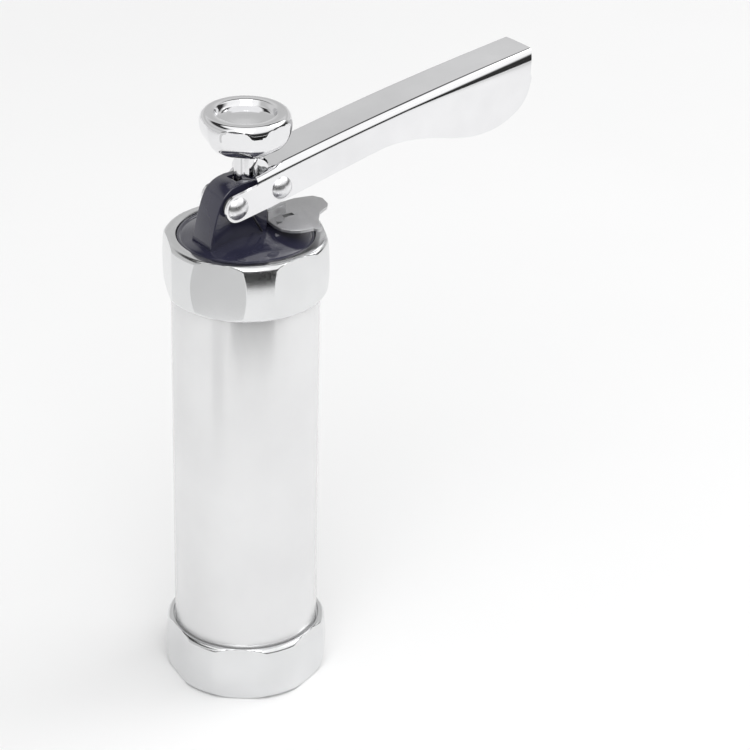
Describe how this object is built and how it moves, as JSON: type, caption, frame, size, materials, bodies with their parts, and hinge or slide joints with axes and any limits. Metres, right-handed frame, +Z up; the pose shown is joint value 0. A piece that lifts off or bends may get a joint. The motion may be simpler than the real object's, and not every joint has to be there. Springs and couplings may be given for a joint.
{
  "type": "cookie press",
  "caption": "Hand-held lever cookie press: aluminium barrel with screw-on ring nuts, glossy head with a chrome feed lever, toothed plunger rod with a faceted knob, and a die disc.",
  "frame": {"origin": "on the barrel's axis, at the mouth of the outlet in the plane of the bottom ring's rim", "axes": "+Z up along the barrel towards the knob, +X towards the lever's thumb pad, +Y to the left of the lever"},
  "size_m": [0.1545, 0.06, 0.2244],
  "materials": {
    "barrel_aluminium": "fine satin, drawn lengthways",
    "ring_aluminium": "bright satin",
    "disc_steel": "stamped, satin",
    "head_plastic": "glossy dark navy moulding",
    "bush_brass": "turned, satin",
    "spring_steel": "bright spring steel",
    "lever_chrome": "polished chrome plate",
    "rivet_chrome": "polished",
    "zinc_steel": "bright zinc plate",
    "selector_steel": "stamped, satin grey",
    "rod_chrome": "polished",
    "knob_chrome": "polished chrome plate",
    "piston_plastic": "off-white moulding"
  },
  "bodies": {
    "barrel": {"barrel_tube": "barrel_aluminium", "head_cover": "head_plastic", "rod_guide_bush": "bush_brass", "rod_brake_spring": "spring_steel", "lever_pivot_rivet": "rivet_chrome", "pivot_spacer": "zinc_steel", "lever_return_spring": "spring_steel", "selector_rivet": "zinc_steel", "selector_spring_washer": "spring_steel", "die_disc": "disc_steel"},
    "top_ring": {"top_ring_nut": "ring_aluminium"},
    "bottom_ring": {"bottom_ring_nut": "ring_aluminium"},
    "lever": {"lever": "lever_chrome", "pawl_rivet": "rivet_chrome", "pawl_spacers": "zinc_steel"},
    "pawl": {"feed_pawl": "zinc_steel", "pawl_spring": "spring_steel"},
    "selector": {"selector_plate": "selector_steel"},
    "piston": {"piston": "piston_plastic"},
    "plunger": {"plunger_rod": "rod_chrome", "knob": "knob_chrome", "piston_washer": "zinc_steel", "piston_nut": "zinc_steel"}
  },
  "joints": [
    {"name": "lever_press", "type": "hinge", "parent": "barrel", "child": "lever", "pos_m": [-0.01, 0, 0.1936], "axis": [0, 1, 0], "range_deg": [0, 16], "stiffness_Nm_per_rad": 1.5, "springref_deg": -14.32, "deforming": ["lever_return_spring"]},
    {"name": "pawl_swing", "type": "hinge", "parent": "lever", "child": "pawl", "pos_m": [0.0088, 0, 0.1967], "axis": [0, 1, 0], "range_deg": [-16, 0], "deforming": ["pawl_spring"]},
    {"name": "selector_swing", "type": "hinge", "parent": "barrel", "child": "selector", "pos_m": [0.0115, 0.001, 0.1824], "axis": [0, 0, 1], "range_deg": [0, 60]},
    {"name": "plunger_slide", "type": "slide", "parent": "barrel", "child": "piston", "axis": [0, 0, 1], "range_m": [-0.0028, 0.14]},
    {"name": "rod_turn", "type": "hinge", "parent": "piston", "child": "plunger", "pos_m": [0, 0, 0.1], "axis": [0, 0, 1], "continuous": true},
    {"name": "top_ring_turn", "type": "hinge", "parent": "barrel", "child": "top_ring", "pos_m": [0, 0, 0.1675], "axis": [0, 0, 1], "continuous": true},
    {"name": "bottom_ring_turn", "type": "hinge", "parent": "barrel", "child": "bottom_ring", "pos_m": [0, 0, 0.01075], "axis": [0, 0, 1], "continuous": true}
  ],
  "couplings": [
    {"joint": "pawl_swing", "follows": "lever_press", "ratio": -1}
  ]
}
